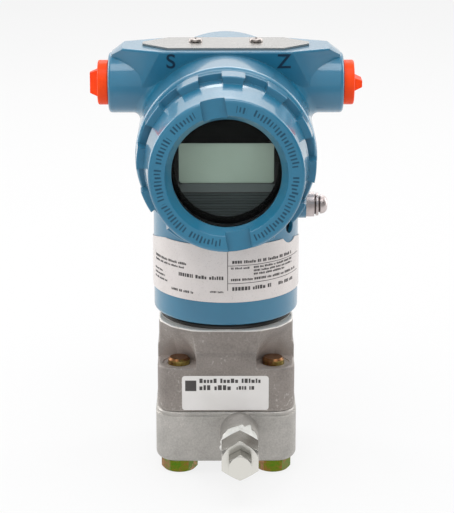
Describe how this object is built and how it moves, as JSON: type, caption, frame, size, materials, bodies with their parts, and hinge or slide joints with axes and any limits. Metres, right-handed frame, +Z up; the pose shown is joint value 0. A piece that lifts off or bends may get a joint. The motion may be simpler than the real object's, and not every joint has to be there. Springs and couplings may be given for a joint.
{
  "type": "gauge pressure transmitter",
  "caption": "Pressure transmitter: blue two-compartment housing with a windowed display cover, conduit plugs and a labelled neck on a cast sensor module and vented flange.",
  "frame": {"origin": "on the process port's axis at the underside of the flange", "axes": "+Z up through the neck, the display faces -Y, +X to the viewer's right"},
  "size_m": [0.1352, 0.16, 0.2175],
  "materials": {
    "housing_paint": "blue baked paint on a die casting",
    "cover_paint": "blue baked paint",
    "label_film": "printed film label",
    "sticker_film": "white film sticker",
    "cast_steel": "as-cast stainless steel, blasted",
    "flange_steel": "as-cast stainless steel, blasted",
    "bolt_zinc": "yellow passivated zinc",
    "steel": "machined stainless steel",
    "plate_steel": "thin stainless sheet",
    "plug_orange": "orange moulded plastic",
    "glass": "toughened glass",
    "rubber": "black rubber",
    "tape": "white thread tape",
    "bezel_plastic": "dark moulded plastic",
    "lcd": "grey-green liquid crystal panel",
    "board": "green circuit board",
    "potting": "black moulded plastic"
  },
  "bodies": {
    "sensor_base": {"process_flange": "flange_steel", "flange_seal": "rubber", "flange_bolts": "bolt_zinc", "sensor_module": "cast_steel", "neck_o_ring": "rubber", "sensor_capsule": "steel", "isolating_diaphragm": "steel", "module_sticker": "sticker_film", "vent_seat": "steel", "thread_tape": "tape"},
    "housing": {"electronics_housing": "housing_paint", "label_band": "label_film", "electronics_module": "potting", "display_board": "board", "display_posts": "steel", "display_bezel": "bezel_plastic", "lcd_panel": "lcd", "terminal_block": "potting", "terminal_screws": "steel", "terminal_fixings": "steel", "inner_ground_screw": "steel", "ground_washers": "steel", "ground_screw": "steel", "rotation_set_screw": "steel", "nameplate_screws": "steel", "span_spring": "steel", "zero_spring": "steel"},
    "nameplate": {"nameplate": "plate_steel"},
    "span_button": {"span_button": "steel"},
    "zero_button": {"zero_button": "steel"},
    "plug_left": {"conduit_plug_left": "plug_orange"},
    "plug_right": {"conduit_plug_right": "plug_orange"},
    "display_cover_seal": {"display_cover_o_ring": "rubber"},
    "display_cover": {"display_cover": "cover_paint", "glass_gasket": "rubber", "window_glass": "glass", "glass_retainer": "steel"},
    "terminal_cover_seal": {"terminal_cover_o_ring": "rubber"},
    "terminal_cover": {"terminal_cover": "cover_paint"},
    "vent_ball": {"vent_ball": "steel"},
    "vent_stem": {"vent_stem": "steel"}
  },
  "joints": [
    {"name": "housing_turn", "type": "hinge", "parent": "sensor_base", "child": "housing", "pos_m": [0, 0, 0.08], "axis": [0, 0, 1], "range_deg": [-180, 180]},
    {"name": "nameplate_slide", "type": "slide", "parent": "housing", "child": "nameplate", "axis": [0, -1, 0], "range_m": [0, 0.022]},
    {"name": "span_press", "type": "slide", "parent": "housing", "child": "span_button", "axis": [0, 0, -1], "range_m": [0, 0.0012], "stiffness_N_per_m": 600, "deforming": ["span_spring"]},
    {"name": "zero_press", "type": "slide", "parent": "housing", "child": "zero_button", "axis": [0, 0, -1], "range_m": [0, 0.0012], "stiffness_N_per_m": 600, "deforming": ["zero_spring"]},
    {"name": "plug_left_pull", "type": "slide", "parent": "housing", "child": "plug_left", "axis": [-1, 0, 0], "range_m": [0, 0.016]},
    {"name": "plug_right_pull", "type": "slide", "parent": "housing", "child": "plug_right", "axis": [1, 0, 0], "range_m": [0, 0.016]},
    {"name": "display_cover_travel", "type": "slide", "parent": "housing", "child": "display_cover_seal", "axis": [0, -1, 0], "range_m": [0, 0.014]},
    {"name": "display_cover_turn", "type": "hinge", "parent": "display_cover_seal", "child": "display_cover", "pos_m": [0, -0.06, 0.163], "axis": [0, -1, 0], "range_deg": [0, 2520]},
    {"name": "terminal_cover_travel", "type": "slide", "parent": "housing", "child": "terminal_cover_seal", "axis": [0, 1, 0], "range_m": [0, 0.014]},
    {"name": "terminal_cover_turn", "type": "hinge", "parent": "terminal_cover_seal", "child": "terminal_cover", "pos_m": [0, 0.06, 0.163], "axis": [0, 1, 0], "range_deg": [0, 2520]},
    {"name": "vent_travel", "type": "slide", "parent": "sensor_base", "child": "vent_ball", "axis": [0, -1, 0], "range_m": [0, 0.002]},
    {"name": "vent_turn", "type": "hinge", "parent": "vent_ball", "child": "vent_stem", "pos_m": [0.0066, -0.07, 0.0174], "axis": [0, -1, 0], "range_deg": [0, 720]}
  ],
  "couplings": [
    {"joint": "display_cover_travel", "follows": "display_cover_turn", "m_per_rad": 0.00031831},
    {"joint": "terminal_cover_travel", "follows": "terminal_cover_turn", "m_per_rad": 0.00031831},
    {"joint": "vent_travel", "follows": "vent_turn", "m_per_rad": 0.00015915}
  ]
}
